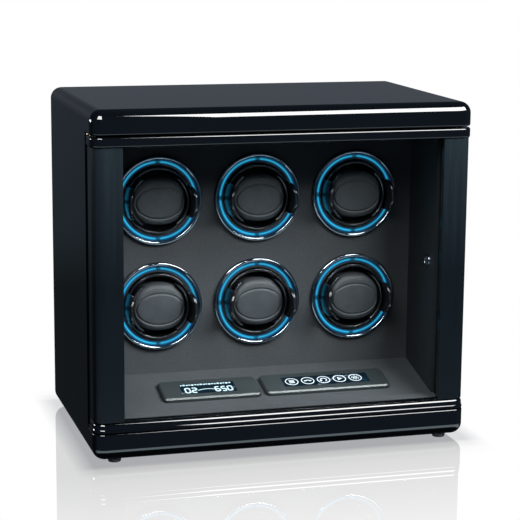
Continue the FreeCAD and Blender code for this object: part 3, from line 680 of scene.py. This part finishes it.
class Drawing:
    """Thin raised shapes on a flat ground, in millimetres."""

    def __init__(self):
        self.form = bmesh.new()

    def shape(self, outline):
        """A thin slab with this outline."""
        lower = [self.form.verts.new((x, y, 0.0)) for x, y in outline]
        upper = [self.form.verts.new((x, y, SYMBOL_THICKNESS)) for x, y in outline]
        self.form.faces.new(upper)
        self.form.faces.new(reversed(lower))
        for index in range(len(outline)):
            after = (index + 1) % len(outline)
            self.form.faces.new((lower[index], lower[after], upper[after], upper[index]))

    def bar(self, start, end, width):
        """A straight stroke with pointed ends."""
        start, end = Vector(start), Vector(end)
        along = (end - start).normalized() * width / 2
        side = Vector((-along.y, along.x))
        lower = [start + along - side, end - along - side]
        upper = [end - along + side, start + along + side]
        self.shape([start, *lower, end, *upper])

    def arc(self, centre, radius, width, start, end, count=40):
        """A curved stroke between two angles in degrees."""
        angles = [math.radians(start + (end - start) * step / count) for step in range(count + 1)]
        for first, second in zip(angles, angles[1:]):
            corners = [(radius - width / 2, first), (radius + width / 2, first),
                       (radius + width / 2, second), (radius - width / 2, second)]
            self.shape([(centre[0] + r * math.cos(a), centre[1] + r * math.sin(a)) for r, a in corners])

    def digit(self, figure, x, y, width, height, stroke):
        """A seven-segment figure, from its lower left corner."""
        left, right, middle = x, x + width, y + height / 2
        ends = {
            "a": ((left, y + height), (right, y + height)),
            "b": ((right, middle), (right, y + height)),
            "c": ((right, y), (right, middle)),
            "d": ((left, y), (right, y)),
            "e": ((left, y), (left, middle)),
            "f": ((left, middle), (left, y + height)),
            "g": ((left, middle), (right, middle)),
        }
        for segment in SEGMENTS[figure]:
            self.bar(*ends[segment], stroke)

    def place(self, name, node, material):
        """Makes the drawing a piece on a console window."""
        bmesh.ops.remove_doubles(self.form, verts=self.form.verts, dist=0.0001)
        self.form.transform(window_place(node))
        piece = new_object(name, self.form, material)
        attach(piece, "cabinet")


def add_display(tone):
    """The display's figures: two program figures, the daily turns, an arc and a row of marks."""
    drawing = Drawing()
    for place, figure in enumerate("02"):
        drawing.digit(figure, -23.5 + 6.8 * place, FIGURE_FOOT, 4.5, 8.8, 1.6)
    for place, figure in enumerate("650"):
        drawing.digit(figure, 7.0 + 6.3 * place, FIGURE_FOOT, 4.2, 8.4, 1.5)
    drawing.arc((-1.5, -22.0), 20.0, 0.7, 62.0, 118.0)
    left = MARK_START
    for number in range(MARK_COUNT):
        right = left + 1.8 + 0.8 * (number * 5 % 3)
        level = MARK_LEVEL + 0.4 * (number % 2)
        drawing.bar((left, level), (right, level), MARK_STROKE)
        left = right + MARK_GAP
    drawing.place("display_figures", "display_window", tone)


def add_keys(tone):
    """Five touch keys: a ring round a symbol for menu, mode, direction, start and light."""
    low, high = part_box("touch_window")
    middle = FIRST_KEY - (high.x - low.x) / 2 / MM
    symbols = (menu_symbol, mode_symbol, turn_symbol, start_symbol, light_symbol)
    for symbol, name in zip(symbols, KEY_NAMES):
        drawing = Drawing()
        drawing.arc((middle, 0.0), KEY_RADIUS - KEY_STROKE / 2, KEY_STROKE, 0.0, 360.0, 64)
        symbol(drawing, middle)
        drawing.place(f"key_{name}", "touch_window", tone)
        middle += KEY_PITCH


def menu_symbol(drawing, x):
    """Three level bars."""
    for level in (-2.2, 0.0, 2.2):
        drawing.bar((x - 3.0, level), (x + 3.0, level), 1.1)


def mode_symbol(drawing, x):
    """A low wave between two bars."""
    for side in (-1.0, 1.0):
        drawing.bar((x + side * 1.0, 0.0), (x + side * 4.2, 0.0), 1.5)
    drawing.arc((x, -0.8), 1.9, 0.9, 20.0, 160.0, 12)


def turn_symbol(drawing, x):
    """A turning arrow."""
    drawing.arc((x, 0.0), 3.0, 0.9, -60.0, 200.0, 24)
    drawing.shape([(x - 4.6, -0.4), (x - 1.2, -0.4), (x - 2.9, -2.9)])


def start_symbol(drawing, x):
    """A start triangle."""
    drawing.shape([(x - 1.7, -2.7), (x + 2.9, 0.0), (x - 1.7, 2.7)])


def light_symbol(drawing, x):
    """A small lamp with rays."""
    drawing.arc((x, 0.0), 1.5, 0.9, 0.0, 360.0, 20)
    for step in range(8):
        angle = math.radians(45.0 * step)
        ray = Vector((math.cos(angle), math.sin(angle)))
        drawing.bar(Vector((x, 0.0)) + ray * 2.6, Vector((x, 0.0)) + ray * 4.4, 0.7)


# --- studio ------------------------------------------------------------------------------------


def facing(azimuth, elevation):
    """The unit vector from the box towards a viewer at this azimuth and elevation."""
    level = math.cos(elevation)
    return Vector((math.sin(azimuth) * level, -math.cos(azimuth) * level, math.sin(elevation)))


def add_camera():
    """The photograph's camera: a long lens, a little above the box and to its left."""
    data = bpy.data.cameras.new("camera")
    data.lens = LENS
    data.sensor_width = SENSOR_WIDTH
    camera = bpy.data.objects.new("camera", data)
    bpy.context.scene.collection.objects.link(camera)
    back = facing(AZIMUTH, ELEVATION)
    aim = (-back).to_track_quat("-Z", "Y").to_matrix().to_4x4()
    place = Matrix.Translation(TARGET + back * DISTANCE)
    camera.matrix_world = place @ aim @ Matrix.Rotation(ROLL, 4, "Z")
    bpy.context.scene.camera = camera


def add_softbox(name, azimuth, reach, rise, lean, size, radiance, acts_on):
    """One large soft light. It stands upright, or leans down towards the box."""
    data = bpy.data.lights.new(name, "AREA")
    data.shape = "RECTANGLE"
    data.size, data.size_y = size
    data.energy = radiance * math.pi * size[0] * size[1]
    softbox = bpy.data.objects.new(name, data)
    bpy.context.scene.collection.objects.link(softbox)
    azimuth = math.radians(azimuth)
    softbox.location = TARGET + facing(azimuth, 0.0) * reach + Vector((0.0, 0.0, rise))
    softbox.rotation_mode = "QUATERNION"
    softbox.rotation_quaternion = (-facing(azimuth, math.radians(lean))).to_track_quat("-Z", "Y")
    softbox.visible_camera = False
    softbox.visible_diffuse = acts_on != "mirrors"
    softbox.visible_glossy = acts_on != "soft surfaces"


def add_world():
    """White behind the box, and a dim studio in what its lacquer mirrors."""
    world = bpy.data.worlds.new("studio")
    world.use_nodes = True
    world.cycles.sampling_method = "NONE"
    bpy.context.scene.world = world
    nodes = Nodes(world.node_tree)
    axes = nodes.axes(nodes.add("ShaderNodeTexCoord").outputs["Generated"])
    height = nodes.spread(nodes.math("ARCSINE", axes["Z"]), 0.0, 1.0, -math.pi / 2, math.pi / 2)
    glows = []
    for glow in (FRONT_GLOW, REAR_GLOW):
        glows.append(nodes.ramp(height, [(angle / 180.0 + 0.5, colour) for angle, colour in glow]))
    seen = nodes.mix(nodes.spread(axes["Y"], 0.0, 1.0, -0.3, 0.3), glows[0], glows[1])
    path = nodes.add("ShaderNodeLightPath").outputs
    colour = nodes.mix(path["Is Glossy Ray"], AMBIENT, seen)
    white = nodes.math("MAXIMUM", path["Is Camera Ray"], path["Is Singular Ray"])
    colour = nodes.mix(white, colour, WHITE)
    light = nodes.add("ShaderNodeBackground", {"Color": colour, "Strength": 1.0}).outputs[0]
    nodes.finish(light, "ShaderNodeOutputWorld")


def add_floor():
    """A wide pale floor under the feet."""
    form = bmesh.new()
    bmesh.ops.create_grid(form, x_segments=1, y_segments=1, size=FLOOR_HALF_SIZE)
    floor = new_object("floor", form, floor_material())
    floor.visible_glossy = False
    floor.visible_diffuse = False


# --- the scene ---------------------------------------------------------------------------------

cup_centres = [Vector(joint["pos_m"]) for joint in frame["joints"] if joint["name"].startswith("rotor_")]

leather = pillow_leather()
dress_cad_nodes({
    "lacquer": lacquer(),
    "stile_grain": grained_veneer(),
    "back_board": back_board(),
    "lining": lining(),
    "chrome": bezel_chrome(),
    "light_guide": light_guide(cup_centres),
    "housing_black": moulded("cup_housing_plastic", (0.010, 0.011, 0.013), 0.45),
    "rotor_gloss": gloss_plastic("rotor_plastic", (0.005, 0.005, 0.006), 0.20),
    "pillow_leather": leather,
    "frame_gloss": gloss_plastic("pillow_frame_plastic", (0.014, 0.014, 0.017), 0.18),
    "door_glass": door_glass(),
    "console_metal": console_metal(),
    "console_glass": console_glass(),
    "steel": metal("brushed_steel", (0.58, 0.58, 0.59), 0.30, (900.0, 60.0, 900.0)),
    "brass_bush": metal("turned_brass", (0.68, 0.52, 0.27), 0.28, (200.0, 1200.0, 200.0)),
    "black_plastic": moulded("black_plastic", (0.018, 0.018, 0.020), 0.42),
    "rubber": moulded("black_rubber", (0.016, 0.016, 0.017), 0.75, 700.0, 0.00005),
    "circuit_board": circuit_board(),
    "motor_metal": metal("motor_can", (0.60, 0.60, 0.62), 0.34, (60.0, 60.0, 700.0)),
})
add_pillows(cup_centres, leather)
add_display(lit_symbol("display_light", (0.66, 0.88, 0.96), 1.0))
add_keys(lit_symbol("key_light", (0.82, 0.92, 1.00), 1.0))

add_camera()
for softbox in SOFTBOXES:
    add_softbox(*softbox)
add_world()
add_floor()
bpy.context.scene.view_settings.view_transform = "Standard"
